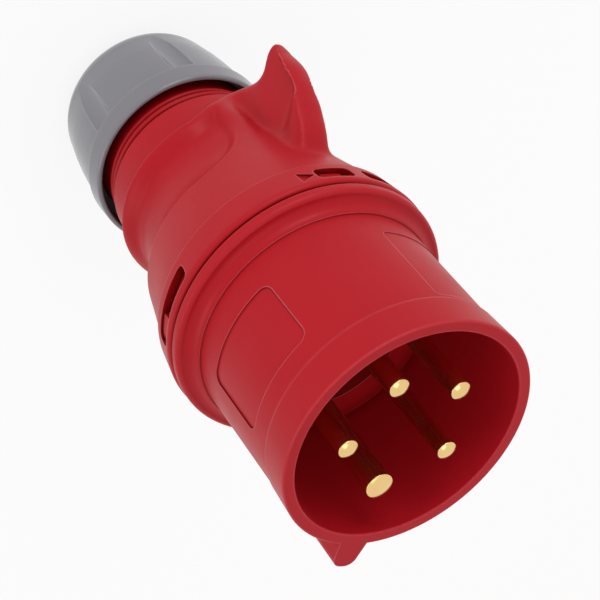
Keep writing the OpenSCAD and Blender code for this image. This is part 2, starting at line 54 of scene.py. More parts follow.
# Packed contact, its direction about the axis in degrees, and its pin's radius
CONTACTS = (
    ("pin_l1", 126.0, PHASE_PIN_R),
    ("pin_l2", 198.0, PHASE_PIN_R),
    ("pin_l3", 342.0, PHASE_PIN_R),
    ("pin_n", 54.0, PHASE_PIN_R),
    ("pin_pe", 270.0, EARTH_PIN_R),
)
# Faces and steps of the drawn forms
CAVITY_FACES = 96
SCALLOP_FACES = 120
FIN_RINGS = 60
FIN_RAYS = 200
DOME_STEPS = 8
log = logging.getLogger("plug")

Line = list[tuple[float, float]]


def srgb(code: str) -> tuple:
    """Turn an sRGB hex colour into linear RGBA.

    Args:
        code: Six hex digits with a leading hash.

    Returns:
        Four linear values, with an alpha of one.
    """
    values = [int(code[i : i + 2], 16) / 255 for i in (1, 3, 5)]
    linear = [v / 12.92 if v <= 0.04045 else ((v + 0.055) / 1.055) ** 2.4 for v in values]
    return (*linear, 1.0)


def add_node(
    tree: bpy.types.NodeTree,
    kind: str,
    values: dict | None = None,
    links: dict | None = None,
    **settings: object,
) -> bpy.types.Node:
    """Add a node with its settings, socket values and incoming links.

    Args:
        tree: The node tree that gets the node.
        kind: The node's type name.
        values: Socket name or index to value.
        links: Socket name or index to the output socket that feeds it.
        **settings: Attributes of the node itself.

    Returns:
        The new node.
    """
    node = tree.nodes.new(kind)
    for name, value in settings.items():
        setattr(node, name, value)
    for name, value in (values or {}).items():
        node.inputs[name].default_value = value
    for name, source in (links or {}).items():
        tree.links.new(source, node.inputs[name])
    return node


# Where the values of a noise mostly lie, so that the gloss is spread over all of them
NOISE_SPAN = (0.3, 0.7)
# Openness at which the painted shade in a groove is at its darkest, and at which the surface is open
# and has none
PAINTED_SHADE_SPAN = (0.35, 0.92)
# Likeness of the rounded and the plain normal where the painted highlight line on an edge sets in, and
# where it is full
HIGHLIGHT_SPAN = (0.997, 0.94)
# Openness at which an edge counts as an outer one that gets the painted highlight, from hardly to
# wholly, and the highlight's share
HIGHLIGHT_OPEN_SPAN = (0.8, 0.97)
HIGHLIGHT_SHARE = 0.7
# Stretch of the grain of a turned surface, round the axis against along it
TURNED_STRETCH = (0.04, 0.04, 1.0)


class Grain(Enum):
    """How a surface was made, which decides the direction of its fine texture."""

    MOULDED = "moulded"
    TURNED = "turned"


@dataclass(frozen=True)
class Finish:
    """One finish of the plug, drawn with noise and bump at real sizes.

    Attributes:
        name: Common name of the material and its process.
        colour: Main colour, sRGB hex.
        deep: Colour of the slightly deeper patches, sRGB hex.
        roughness: Mean roughness.
        spread: How far the roughness wanders to each side.
        ior: Index of refraction, for anything but metal.
        metallic: One for a metal, zero otherwise.
        shine: Share of the reflection that the fine roughness leaves, 0.5 for all of it.
        grain_mm: Size of the fine surface texture.
        relief_mm: Height of the fine surface texture.
        patch_mm: Size of the patches in colour and gloss.
        grain: Direction of the fine texture.
        edge_mm: Radius that the mould or the tumbling leaves on sharp edges.
        painted_shade: Colour of the painted shade in grooves and hollows, sRGB hex, or empty for none.
        edge: Colour of the painted highlight line along sharp outer edges, sRGB hex, used only where
            cove is set.
        painted_shade_mm: How wide a groove still gets painted shade.
    """

    name: str
    colour: str
    deep: str
    roughness: float
    spread: float = 0.04
    ior: float = 1.5
    metallic: float = 0.0
    shine: float = 0.5
    grain_mm: float = 0.35
    relief_mm: float = 0.004
    patch_mm: float = 14.0
    grain: Grain = Grain.MOULDED
    edge_mm: float = 0.35
    painted_shade: str = ""
    edge: str = ""
    painted_shade_mm: float = 5.0

    def material(self) -> bpy.types.Material:
        """Build the node material of this finish.

        Returns:
            The material, whose colour, gloss and relief wander a little over the surface.
        """
        mat = bpy.data.materials.new(self.name)
        mat.use_nodes = True
        tree = mat.node_tree
        tree.nodes.clear()
        place = add_node(tree, "ShaderNodeTexCoord").outputs["Object"]
        patches = add_node(
            tree, "ShaderNodeTexNoise",
            {"Scale": 1 / (self.patch_mm * MM), "Detail": 3.0, "Roughness": 0.55}, {"Vector": place},
        ).outputs["Fac"]
        tint = add_node(
            tree, "ShaderNodeMix", {6: srgb(self.colour), 7: srgb(self.deep)}, {0: patches},
            data_type="RGBA",
        ).outputs[2]
        gloss = add_node(
            tree, "ShaderNodeMapRange",
            {"From Min": NOISE_SPAN[0], "From Max": NOISE_SPAN[1],
             "To Min": self.roughness - self.spread, "To Max": self.roughness + self.spread},
            {"Value": patches},
        ).outputs["Result"]
        height = self._height(tree, place)
        edge = add_node(tree, "ShaderNodeBevel", {"Radius": self.edge_mm * MM}, samples=6)
        # Painted shade in grooves and a painted highlight along outer edges, for finishes that have a
        # shade colour
        if self.painted_shade:
            tint = self._painted_shade_and_highlights(tree, tint, edge.outputs["Normal"])
        bump = add_node(
            tree, "ShaderNodeBump", {"Strength": 1.0, "Distance": self.relief_mm * MM},
            {"Height": height, "Normal": edge.outputs["Normal"]},
        ).outputs["Normal"]
        shader = add_node(
            tree, "ShaderNodeBsdfPrincipled",
            {"IOR": self.ior, "Metallic": self.metallic, "Specular IOR Level": self.shine},
            {"Base Color": tint, "Roughness": gloss, "Normal": bump},
        )
        add_node(tree, "ShaderNodeOutputMaterial", links={"Surface": shader.outputs["BSDF"]})
        return mat

    def _painted_shade_and_highlights(
        self, tree: bpy.types.NodeTree, tint: bpy.types.NodeSocket, rounded: bpy.types.NodeSocket
    ) -> bpy.types.NodeSocket:
        """Paint shade into grooves and hollows, and paint a highlight line along sharp outer edges.

        Args:
            tree: The material's node tree.
            tint: The colour of the open surface.
            rounded: The normal with its edges rounded.

        Returns:
            The socket that carries the final colour.
        """
        # Ambient occlusion tells the grooves and hollows that get the painted shade from the open
        # surface
        openness = add_node(
            tree, "ShaderNodeAmbientOcclusion", {"Distance": self.painted_shade_mm * MM}, samples=12
        ).outputs["AO"]
        depth = add_node(
            tree, "ShaderNodeMapRange", {"From Min": PAINTED_SHADE_SPAN[0], "From Max": PAINTED_SHADE_SPAN[1]},
            {"Value": openness},
        ).outputs["Result"]
        # Painted shade: the colour darkens towards the shade colour in grooves
        deep = add_node(
            tree, "ShaderNodeMix", {6: srgb(self.painted_shade)}, {0: depth, 7: tint}, data_type="RGBA",
        ).outputs[2]
        # Painted highlight: where the rounded normal leaves the plain one on an outer edge, a light
        # line is painted
        plain = add_node(tree, "ShaderNodeNewGeometry").outputs["Normal"]
        same = add_node(
            tree, "ShaderNodeVectorMath", {}, {0: rounded, 1: plain}, operation="DOT_PRODUCT",
        ).outputs["Value"]
        line = add_node(
            tree, "ShaderNodeMapRange", {"From Min": HIGHLIGHT_SPAN[0], "From Max": HIGHLIGHT_SPAN[1]},
            {"Value": same},
        ).outputs["Result"]
        outer = add_node(
            tree, "ShaderNodeMapRange",
            {"From Min": HIGHLIGHT_OPEN_SPAN[0], "From Max": HIGHLIGHT_OPEN_SPAN[1], "To Max": HIGHLIGHT_SHARE},
            {"Value": openness},
        ).outputs["Result"]
        share = add_node(
            tree, "ShaderNodeMath", {}, {0: line, 1: outer}, operation="MULTIPLY",
        ).outputs[0]
        # The painted highlight's light colour laid over the painted shade
        return add_node(
            tree, "ShaderNodeMix", {7: srgb(self.edge)}, {0: share, 6: deep}, data_type="RGBA",
        ).outputs[2]

    def _height(self, tree: bpy.types.NodeTree, place: bpy.types.NodeSocket) -> bpy.types.NodeSocket:
        """Draw the fine relief.

        Args:
            tree: The material's node tree.
            place: Object coordinates.

        Returns:
            The socket that carries the height.
        """
        if self.grain is Grain.TURNED:
            stretched = add_node(
                tree, "ShaderNodeMapping", {"Scale": TURNED_STRETCH}, {"Vector": place}
            ).outputs["Vector"]
            return add_node(
                tree, "ShaderNodeTexNoise",
                {"Scale": 1 / (self.grain_mm * MM), "Detail": 2.0}, {"Vector": stretched},
            ).outputs["Fac"]
        return add_node(
            tree, "ShaderNodeTexNoise",
            {"Scale": 1 / (self.grain_mm * MM), "Detail": 4.0, "Roughness": 0.6}, {"Vector": place},
        ).outputs["Fac"]


# Spark-eroded mould: a soft satin with a barely visible orange-peel grain, with painted shade in its
# grooves and a painted highlight line on its sharp outer edges
RED_POLYAMIDE = Finish(
    "red_moulded_polyamide", "#B21521", "#AC131E", 0.4, ior=1.53, shine=0.13,
    painted_shade="#840705", edge="#DF6A74", edge_mm=0.45,
)
# The same moulding painted a deeper, duller red as shade for the bottom of the shroud, so the pins
# stand out against it
CARRIER_POLYAMIDE = Finish(
    "red_moulded_polyamide_painted_shade", "#7A0B0E", "#720A0C", 0.45, ior=1.53, shine=0.11,
)
# Polished mould face: glossier than the red, so its ribs and scallops carry clear highlights; it also
# gets painted shade in its scallops and a painted highlight line on sharp edges
GREY_POLYAMIDE = Finish(
    "grey_moulded_polyamide", "#77767C", "#727177", 0.2, ior=1.58, painted_shade="#5C5B62", edge="#B9B8BD",
    painted_shade_mm=3.0,
)
# Plain black moulding of the clamp, dull and with no colour of its own
DARK_POLYAMIDE = Finish("black_moulded_polyamide", "#2E2F33", "#28292D", 0.45, ior=1.53)
# Turned in a lathe and tumbled: bright, with rings too fine to count, drawn 0.2 mm apart
TURNED_BRASS = Finish(
    "turned_brass", "#EBCB8E", "#E2BC7A", 0.2, metallic=1.0, grain_mm=0.2,
    relief_mm=0.003, patch_mm=4.0, grain=Grain.TURNED, edge_mm=0.12,
)
# Barrel plated: a cool, even grey with soft reflections
ZINC_STEEL = Finish(
    "zinc_plated_steel", "#C9CBD0", "#BFC1C8", 0.3, metallic=1.0, grain_mm=0.15, relief_mm=0.002,
    patch_mm=3.0,
)
# Moulded rubber: nearly black, and so rough that it hardly reflects
SEAL_RUBBER = Finish("moulded_rubber", "#232325", "#1E1E20", 0.62, ior=1.5, grain_mm=0.25)

NODE_FINISHES = {
    "front_housing": RED_POLYAMIDE,
    "rear_housing": RED_POLYAMIDE,
    "contact_carrier": CARRIER_POLYAMIDE,
    "gland_nut": GREY_POLYAMIDE,
    "clamp_cage": DARK_POLYAMIDE,
    "cable_seal": SEAL_RUBBER,
    "housing_gasket": SEAL_RUBBER,
    "pin": TURNED_BRASS,
    "terminal_screw": ZINC_STEEL,
    "carrier_screw": ZINC_STEEL,
}


@dataclass
class Dresser:
    """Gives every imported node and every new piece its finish.

    Attributes:
        materials: Finish name to the material that was built for it.
    """

    materials: dict = field(default_factory=dict)

    def material(self, finish: Finish) -> bpy.types.Material:
        """Return the material of a finish, built once.

        Args:
            finish: The finish to look up.

        Returns:
            Its material.
        """
        if finish.name not in self.materials:
            self.materials[finish.name] = finish.material()
        return self.materials[finish.name]

    def dress(
        self, piece: bpy.types.Object, finish: Finish, smooth_deg: float | None = None
    ) -> None:
        """Put a finish on one piece.

        Args:
            piece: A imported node, or a new piece.
            finish: Its finish.
            smooth_deg: Edges flatter than this are shaded smooth, for a new piece.
        """
        piece.data.materials.clear()
        piece.data.materials.append(self.material(finish))
        if smooth_deg is not None:
            make_active(piece)
            bpy.ops.object.shade_smooth_by_angle(angle=math.radians(smooth_deg))

    def dress_nodes(self) -> None:
        """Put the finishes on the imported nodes."""
        for name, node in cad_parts.items():
            finish = next(f for start, f in NODE_FINISHES.items() if name.startswith(start))
            self.dress(node, finish)
            log.info("dressed %s in %s", name, finish.name)


def clear_selection() -> None:
    """Leave edit mode and deselect everything."""
    if bpy.context.object and bpy.context.object.mode != "OBJECT":
        bpy.ops.object.mode_set(mode="OBJECT")
    bpy.ops.object.select_all(action="DESELECT")


def make_active(piece: bpy.types.Object) -> None:
    """Select one piece alone and make it the active one.

    Args:
        piece: The piece to work on.
    """
    clear_selection()
    piece.select_set(True)
    bpy.context.view_layer.objects.active = piece


def new_piece(name: str, points: list, faces: list) -> bpy.types.Object:
    """Make a piece from points and faces.

    Args:
        name: Name of the new piece.
        points: Points in metres.
        faces: Tuples of point numbers.

    Returns:
        The new piece, linked to the scene.
    """
    mesh = bpy.data.meshes.new(name)
    mesh.from_pydata(points, [], faces)
    piece = bpy.data.objects.new(name, mesh)
    bpy.context.collection.objects.link(piece)
    return piece


def grid_piece(name: str, rows: list, closed: bool) -> bpy.types.Object:
    """Make a mesh from rows of points, joined row to row.

    Args:
        name: Name of the new piece.
        rows: Rows of points in metres, all equally long.
        closed: Whether each row runs round to its own first point.

    Returns:
        The new piece, with its first and last row capped when the rows are closed.
    """
    count = len(rows[0])
    points = [point for row in rows for point in row]
    faces = []
    for r in range(len(rows) - 1):
        for c in range(count if closed else count - 1):
            n = (c + 1) % count
            faces.append((r * count + c, r * count + n, (r + 1) * count + n, (r + 1) * count + c))
    if closed:
        faces.append(tuple(range(count))[::-1])
        faces.append(tuple(range((len(rows) - 1) * count, len(rows) * count)))
    return new_piece(name, points, faces)


def turned_piece(name: str, profile: Line, around: int, step: float = 0.9) -> bpy.types.Object:
    """Turn a closed profile about the Z axis, with short faces all over.

    Args:
        name: Name of the new piece.
        profile: Radius and height of each corner in millimetres, round the section.
        around: Number of faces round the axis.
        step: Longest face along the profile, in millimetres.

    Returns:
        The new piece.
    """
    line = []
    for (r0, z0), (r1, z1) in zip(profile, profile[1:] + profile[:1]):
        parts = max(1, math.ceil(math.hypot(r1 - r0, z1 - z0) / step))
        line += [(r0 + (r1 - r0) * k / parts, z0 + (z1 - z0) * k / parts) for k in range(parts)]
    turns = [2 * math.pi * k / around for k in range(around)]
    points = [(r * MM * math.cos(a), r * MM * math.sin(a), z * MM) for a in turns for r, z in line]
    faces = []
    count = len(line)
    for a in range(around):
        b = (a + 1) % around
        for k in range(count):
            n = (k + 1) % count
            faces.append((a * count + k, b * count + k, b * count + n, a * count + n))
    piece = new_piece(name, points, faces)
    face_outwards(piece)
    return piece


def face_outwards(piece: bpy.types.Object) -> None:
    """Turn all faces of a closed piece outwards.

    Args:
        piece: The piece to put right.
    """
    make_active(piece)
    bpy.ops.object.mode_set(mode="EDIT")
    bpy.ops.mesh.select_all(action="SELECT")
    bpy.ops.mesh.normals_make_consistent(inside=False)
    bpy.ops.object.mode_set(mode="OBJECT")


def arc_points(centre: tuple, radius: float, start: float, end: float, steps: int) -> Line:
    """List points on an arc.

    Args:
        centre: Radius and height of the arc's centre.
        radius: The arc's own radius.
        start: First angle in degrees.
        end: Last angle in degrees.
        steps: Number of steps between them.

    Returns:
        The points from the first angle to the last.
    """
    angles = [math.radians(start + (end - start) * k / steps) for k in range(steps + 1)]
    return [(centre[0] + radius * math.cos(a), centre[1] + radius * math.sin(a)) for a in angles]


def prism(
    name: str, outline: Line, turn: float, near: float, far: float, z: float
) -> bpy.types.Object:
    """Make a straight cutter that points outwards from the axis.

    Args:
        name: Name of the cutter.
        outline: Points across and up, in millimetres.
        turn: Direction of the cutter about the axis, in degrees.
        near: Distance of its inner end from the axis, in millimetres.
        far: Distance of its outer end from the axis, in millimetres.
        z: Height of the outline's origin, in millimetres.

    Returns:
        The cutter.
    """
    c, s = math.cos(math.radians(turn)), math.sin(math.radians(turn))
    rows = [
        [((reach * c - u * s) * MM, (reach * s + u * c) * MM, (z + w) * MM) for u, w in outline]
        for reach in (near, far)
    ]
    cutter = grid_piece(name, rows, closed=True)
    face_outwards(cutter)
    return cutter


def cut(piece: bpy.types.Object, cutter: bpy.types.Object) -> None:
    """Cut one piece out of another and remove the cutter.

    Args:
        piece: The piece that is cut.
        cutter: The piece that is taken away.
    """
    apply_modifier(piece, "BOOLEAN", operation="DIFFERENCE", object=cutter, solver="EXACT")
    bpy.data.objects.remove(cutter)


def apply_modifier(piece: bpy.types.Object, kind: str, **settings: object) -> None:
    """Add one modifier and apply it at once.

    Args:
        piece: The piece to work on.
        kind: The modifier's type name.
        **settings: Attributes of the modifier.
    """
    make_active(piece)
    modifier = piece.modifiers.new(kind.lower(), kind)
    for name, value in settings.items():
        setattr(modifier, name, value)
    bpy.ops.object.modifier_apply(modifier=modifier.name)


def blend(low: float, high: float, value: float) -> float:
    """Run smoothly from zero at one value to one at another.

    Args:
        low: Where the blend is zero.
        high: Where the blend is one.
        value: Where it is asked for.

    Returns:
        The blend, from zero to one.
    """
    t = min(1.0, max(0.0, (value - low) / (high - low)))
    return t * t * (3 - 2 * t)


def along(points: Line, place: float) -> float:
    """Read a smooth outline that is given by a few points.

    Args:
        points: Pairs of place and value, with rising places.
        place: Where to read it.

    Returns:
        The value there, on a curve without overshoot.
    """
    if place <= points[0][0]:
        return points[0][1]
    if place >= points[-1][0]:
        return points[-1][1]
    slopes = [(b[1] - a[1]) / (b[0] - a[0]) for a, b in zip(points, points[1:])]
    k = next(i for i, b in enumerate(points[1:]) if place <= b[0])
    ends = []
    for j in (k, k + 1):
        if j in (0, len(slopes)):
            ends.append(slopes[min(j, len(slopes) - 1)])
        else:
            a, b = slopes[j - 1], slopes[j]
            ends.append(0.0 if a * b <= 0 else 2 * a * b / (a + b))
    (x0, y0), (x1, y1) = points[k], points[k + 1]
    h = x1 - x0
    t = (place - x0) / h
    return (
        y0 * (1 + 2 * t) * (1 - t) ** 2 + ends[0] * h * t * (1 - t) ** 2
        + y1 * t * t * (3 - 2 * t) + ends[1] * h * t * t * (t - 1)
    )


@dataclass
class RearHousing:
    """The rear housing, whose grip, saddle and fin flow into each other.

    The body between neck and collar is one soft form with the fin grown into it. Neck and collar
    are turned on their own, so their lines stay crisp. All sizes are in millimetres, heights are
    from the nut's rear face, and angles away from the fin are in degrees. A pair called a span
    holds where a change starts and where it is full.

    Attributes:
        dresser: Gives the pieces their finish.
        neck_z: Where the body starts, above the neck.
        lip_z: Height of the lip, away from the fin.
        grip_z: Height of the sharp edge in front of the grip.
        collar_z: Rear edge of the collar.
        lip_r: Radius of the lip.
        rear_edge: Height of the body's rounded rear edge.
        sweep: How far the lip dips beside the fin.
        sweep_span: Angles away from the fin over which the dip runs out.
        sweep_fade: Height above the lip over which the dip runs out.
        shallow: Share of the hollow's depth that is left beside the fin.
        shallow_span: Angles away from the fin over which the hollow gets its whole depth.
        grip_end: Half axes of the grip's round end, round the body and up.
        grip_stop: Distance from the fin, round the body, at which the grip ends.
        wall_slope: Depth that the grip's end wall gains for each millimetre inwards.
        scoop: Depth of the scoop beside the fin's root.
        scoop_off_span: Angles away from the fin over which the scoop sets in.
        scoop_top_span: Heights over which the scoop sets in from above.
        scoop_foot_span: Heights over which the scoop sets in from below.
        voxel: Grain of the remeshed body.
        row_step: Height of the body's rows before the remesh.
        row_count: Number of rows at most, up to the collar.
        around: Number of points in a row.
        fin_turn: Direction of the fin about the axis.
        fin_centre: Centre of the fin's outline: distance from the axis, and height.
        fin_half_turn: Half of the fan of rays that draws the fin, in degrees.
        front_lag: How much nearer the axis than the web the fin's front starts to widen.
        ridge_fade: Height over which the fin's side turns from the ridge into the web.
        nose_r: Rounding of the fin's outline.
        window_z: Height of the windows' middle.
        window_h: Height of a window.
        window_corner: Radius of its corners.
        arrow_turn: Direction of the small arrow about the axis.
    """

    dresser: Dresser
    neck_z: float = 41.0
    lip_z: float = 53.5
    grip_z: float = 76.6
    collar_z: float = 93.4
    lip_r: float = 27.1
    rear_edge: float = 1.0
    sweep: float = 7.6
    sweep_span: tuple = (2.0, 44.0)
    sweep_fade: float = 14.0
    shallow: float = 0.75
    shallow_span: tuple = (24.0, 58.0)
    grip_end: tuple = (17.0, 19.1)
    grip_stop: float = 10.3
    wall_slope: float = 0.9
    scoop: float = 1.5
    scoop_off_span: tuple = (17.0, 7.0)
    scoop_top_span: tuple = (72.5, 62.0)
    scoop_foot_span: tuple = (46.0, 52.0)
    voxel: float = 0.42
    row_step: float = 0.45
    row_count: int = 112
    around: int = 420
    fin_turn: float = 90.0
    fin_centre: tuple = (22.0, 68.0)
    fin_half_turn: float = 98.0
    front_lag: float = 2.5
    ridge_fade: float = 4.5
    nose_r: float = 1.3
    # Outer line of the grip: from the drum over the lip and through the hollow to its sharp edge
    hollow: Line = field(default_factory=lambda: [
        (51.6, 24.4), (52.1, 25.3), (52.7, 26.5), (53.5, 27.1), (54.3, 26.95), (55.8, 26.15),
        (57.2, 25.1), (58.4, 24.5), (60.0, 24.4), (63.0, 24.8), (67.0, 25.6), (71.0, 26.9),
        (74.0, 28.4), (76.6, 30.2),
    ])
    # Line of the body where nothing is hollowed: the cone runs out into the saddle
    saddle: Line = field(default_factory=lambda: [
        (51.6, 24.4), (52.1, 25.3), (52.7, 26.5), (53.5, 27.1), (57.0, 27.35), (63.0, 27.95),
        (70.0, 28.85), (76.6, 30.2), (93.4, 34.2),
    ])
    # Height and radius of the space inside the body
    inner: Line = field(default_factory=lambda: [
        (40.0, 19.2), (42.0, 19.4), (48.0, 21.2), (56.0, 22.2), (74.4, 22.6), (80.0, 26.4),
        (91.0, 29.8), (95.0, 30.0),
    ])
    window_z: float = 98.6
    window_h: float = 4.7
    window_corner: float = 1.5
    arrow_turn: float = 112.0
    # Direction and width of each window
    windows: tuple = ((189.0, 21.17), (-11.0, 21.17), (78.0, 10.08), (100.0, 10.08))
    # Half width of the fin's broad front, by height
    front_width: Line = field(default_factory=lambda: [
        (49.0, 1.9), (51.0, 2.1), (56.0, 2.9), (61.0, 3.4), (66.0, 3.7), (71.0, 4.1), (77.0, 4.6),
        (83.0, 5.2), (90.0, 5.6),
    ])
    # Half width of the web behind the ridge, by distance from the axis
    web_width: Line = field(default_factory=lambda: [
        (21.0, 11.0), (24.0, 8.0), (27.0, 5.2), (30.0, 3.3), (34.0, 2.2), (39.0, 1.9), (45.0, 1.7),
    ])
    # Ridge on the fin's side, by distance from the axis: behind it the side is scooped out
    ridge: Line = field(default_factory=lambda: [
        (24.0, 73.6), (28.5, 73.3), (32.3, 72.6), (36.3, 71.6), (40.1, 69.6), (41.7, 66.8),
        (42.9, 61.5), (43.9, 55.0), (44.9, 48.5),
    ])
    # Side outline of the fin: angle about its centre, distance from it
    fin_outline: Line = field(default_factory=lambda: [
        (-100.0, 25.0), (-88.0, 24.8), (-75.8, 23.2), (-64.7, 21.6), (-55.3, 21.0), (-49.5, 21.7),
        (-45.2, 23.2), (-43.4, 24.8), (-41.0, 26.8), (-37.2, 28.1), (-34.0, 27.1), (-28.7, 25.4),
        (-17.8, 23.2), (-5.3, 20.6), (9.4, 18.4), (25.7, 17.3), (40.1, 17.2), (54.7, 17.6),
        (73.0, 20.9), (100.0, 21.0),
    ])

    def radius(self, off: float, z: float) -> float:
        """Give the body's radius.

        Args:
            off: Angle away from the fin, in degrees.
            z: Height.

        Returns:
            The radius there.
        """
        dip = self.sweep * (1 - blend(*self.sweep_span, off))
        low = z + dip * (1 - blend(self.lip_z, self.lip_z + self.sweep_fade, z))
        full = along(self.saddle, low)
        depth = self.shallow + (1 - self.shallow) * blend(*self.shallow_span, off)
        hollowed = full - depth * (full - along(self.hollow, low)) if low < self.grip_z else full
        side = self.lip_r * math.radians(off)
        reach_s, reach_z = self.grip_end
        s = max(0.0, (reach_s + self.grip_stop - side) / reach_s)
        h = max(0.0, (z - (self.grip_z - reach_z)) / reach_z)
        inside = (1 - math.hypot(s, h)) * reach_z
        pocket = full - self.wall_slope * max(0.0, inside)
        body = full if inside <= 0 else max(hollowed, pocket)
        scoop = self.scoop * blend(*self.scoop_off_span, off) * blend(*self.scoop_top_span, z)
        return body - scoop * blend(*self.scoop_foot_span, z)

    def body(self) -> bpy.types.Object:
        """Build the body between the neck and the collar, still solid.

        Returns:
            The body, reaching a little way into the collar.
        """
        # Short rows over the rounded rear edge, then even ones up to the collar
        first = self.neck_z + 1.6
        heights = [self.neck_z, self.neck_z + 0.3, self.neck_z + 1.0]
        heights += [first + self.row_step * k for k in range(self.row_count)]
        heights = [z for z in heights if z < self.collar_z - 0.5] + [self.collar_z + 0.4]
        rows = []
        for z in heights:
            rounding = max(0.0, self.rear_edge - (z - self.neck_z)) ** 2
            row = []
            for k in range(self.around):
                angle = 2 * math.pi * k / self.around
                off = abs((math.degrees(angle) - self.fin_turn + 180) % 360 - 180)
                r = (self.radius(off, z) - rounding) * MM
                row.append((r * math.cos(angle), r * math.sin(angle), z * MM))
            rows.append(row)
        return grid_piece("rear_body", rows, closed=True)

    def cavity(self) -> bpy.types.Object:
        """Build the space inside the body, to be cut out of it.

        Returns:
            The cutter.
        """
        turns = [2 * math.pi * k / CAVITY_FACES for k in range(CAVITY_FACES)]
        rows = [
            [(r * MM * math.cos(a), r * MM * math.sin(a), z * MM) for a in turns]
            for z, r in self.inner
        ]
        return grid_piece("rear_cavity", rows, closed=True)

    def fin_half(self, y: float, z: float, edge: float) -> float:
        """Give half the fin's thickness.

        Args:
            y: Distance from the axis.
            z: Height.
            edge: Distance from the fin's outline.

        Returns:
            Half the thickness there.
        """
        broad = along(self.front_width, z)
        broad = max(broad, along(self.web_width, y + self.front_lag))
        web = min(broad, along(self.web_width, y))
        behind = max(0.0, min(1.0, (along(self.ridge, y) - z) / self.ridge_fade))
        wide = broad - (broad - web) * (1 - (1 - behind) ** 2)
        nose = min(1.0, edge / self.nose_r)
        return wide * math.sqrt(max(0.0, 1 - (1 - nose) ** 2))

    def fin_side(self, side: int) -> list:
        """Draw one side of the fin as rings that grow from its centre to its outline.

        Args:
            side: 1 or -1, for the side of the fin's plane.

        Returns:
            The rings, each a row of points in metres.
        """
        cy, cz = self.fin_centre
        rows = []
        for j in range(FIN_RINGS + 1):
            u = math.sin(0.5 * math.pi * j / FIN_RINGS)
            row = []
            for k in range(FIN_RAYS + 1):
                turn = -self.fin_half_turn + 2 * self.fin_half_turn * k / FIN_RAYS
                reach = along(self.fin_outline, turn)
                y = cy + u * reach * math.cos(math.radians(turn))
                z = cz + u * reach * math.sin(math.radians(turn))
                half = self.fin_half(y, z, (1 - u) * reach)
                row.append((side * half * MM, y * MM, z * MM))
            rows.append(row)
        return rows

    def fin(self) -> bpy.types.Object:
        """Build the thumb fin as one closed form.

        Returns:
            The fin, with its root inside the body.
        """
        rows = self.fin_side(1) + self.fin_side(-1)[-2::-1]
        piece = grid_piece("rear_fin", rows, closed=False)
        make_active(piece)
        bpy.ops.object.mode_set(mode="EDIT")
        bpy.ops.mesh.select_all(action="SELECT")
        bpy.ops.mesh.remove_doubles(threshold=0.01 * MM)
        bpy.ops.mesh.fill_holes(sides=0)
        bpy.ops.mesh.normals_make_consistent(inside=False)
        bpy.ops.object.mode_set(mode="OBJECT")
        return piece

    def soften(self, piece: bpy.types.Object) -> None:
        """Smooth the remeshed body, and most where the fin grows out of it.

        Args:
            piece: The remeshed body.
        """
        # The fin's root: spans of distance from the axis, of distance from the fin's plane, of height
        outer, inner, beside = (39.0, 32.0), (24.5, 26.0), (12.0, 7.5)
        foot, top = (44.0, 50.0), (88.0, 82.0)
        everywhere = piece.vertex_groups.new(name="everywhere")
        root = piece.vertex_groups.new(name="root")
        for vertex in piece.data.vertices:
            x, y, z = (value / MM for value in vertex.co)
            everywhere.add([vertex.index], 1.0, "REPLACE")
            r = math.hypot(x, y)
            near = blend(*outer, r) * blend(*inner, r) * blend(*beside, abs(x))
            near *= blend(*foot, z) * blend(*top, z) if y > 0 else 0.0
            if near > 0:
                root.add([vertex.index], near, "REPLACE")
        for group, rounds in (("everywhere", 2), ("root", 110)):
            apply_modifier(piece, "SMOOTH", factor=0.5, iterations=rounds, vertex_group=group)
        piece.vertex_groups.clear()

    def neck(self) -> bpy.types.Object:
        """Build the threaded neck with its two rings.

        Returns:
            The neck, turned on its own.
        """
        profile = [(17.7, 16.0), (21.9, 16.0), (22.4, 16.5), (22.4, 36.0)]
        profile += arc_points((22.4, 36.8), 0.7, -90, 90, 6)
        profile += [(22.35, 37.9)]
        profile += arc_points((22.7, 39.3), 0.9, -90, 90, 8)
        profile += [(22.3, 40.5), (22.3, 42.0), (19.8, 42.0), (19.8, 30.0), (17.7, 30.0)]
        return turned_piece("rear_neck", profile, around=240)

    def window_outline(self, width: float) -> Line:
        """Draw a window with its round corners.

        Args:
            width: Its width.

        Returns:
            Its outline, about its own middle.
        """
        r = self.window_corner
        w, h = width / 2 - r, self.window_h / 2 - r
        outline = []
        for quarter, corner in enumerate(((w, h), (-w, h), (-w, -h), (w, -h))):
            outline += arc_points(corner, r, 90 * quarter, 90 * quarter + 90, 6)
        return outline

    def collar(self) -> bpy.types.Object:
        """Build the bayonet collar with its windows and its small arrow.

        Returns:
            The collar, turned on its own.
        """
        z = self.collar_z
        profile = [(33.6, z - 0.7), (34.0, z - 0.06), (34.7, z), (34.92, z + 0.12), (35.02, z + 0.4)]
        profile += [(36.2, z + 8.0)]
        profile += arc_points((34.9, z + 8.3), 1.3, 0, 90, 8)
        profile += [(33.5, z + 9.6), (33.25, z + 9.3), (33.25, z - 0.7)]
        piece = turned_piece("rear_collar", profile, around=360)
        for turn, width in self.windows:
            outline = self.window_outline(width)
            cut(piece, prism("window", outline, turn, near=30.0, far=38.5, z=self.window_z))
        arrow = [(1.9, -2.2), (1.9, 2.2), (-2.1, 0.0)]
        cut(piece, prism("arrow", arrow, self.arrow_turn, near=34.95, far=38.0, z=self.window_z))
        return piece

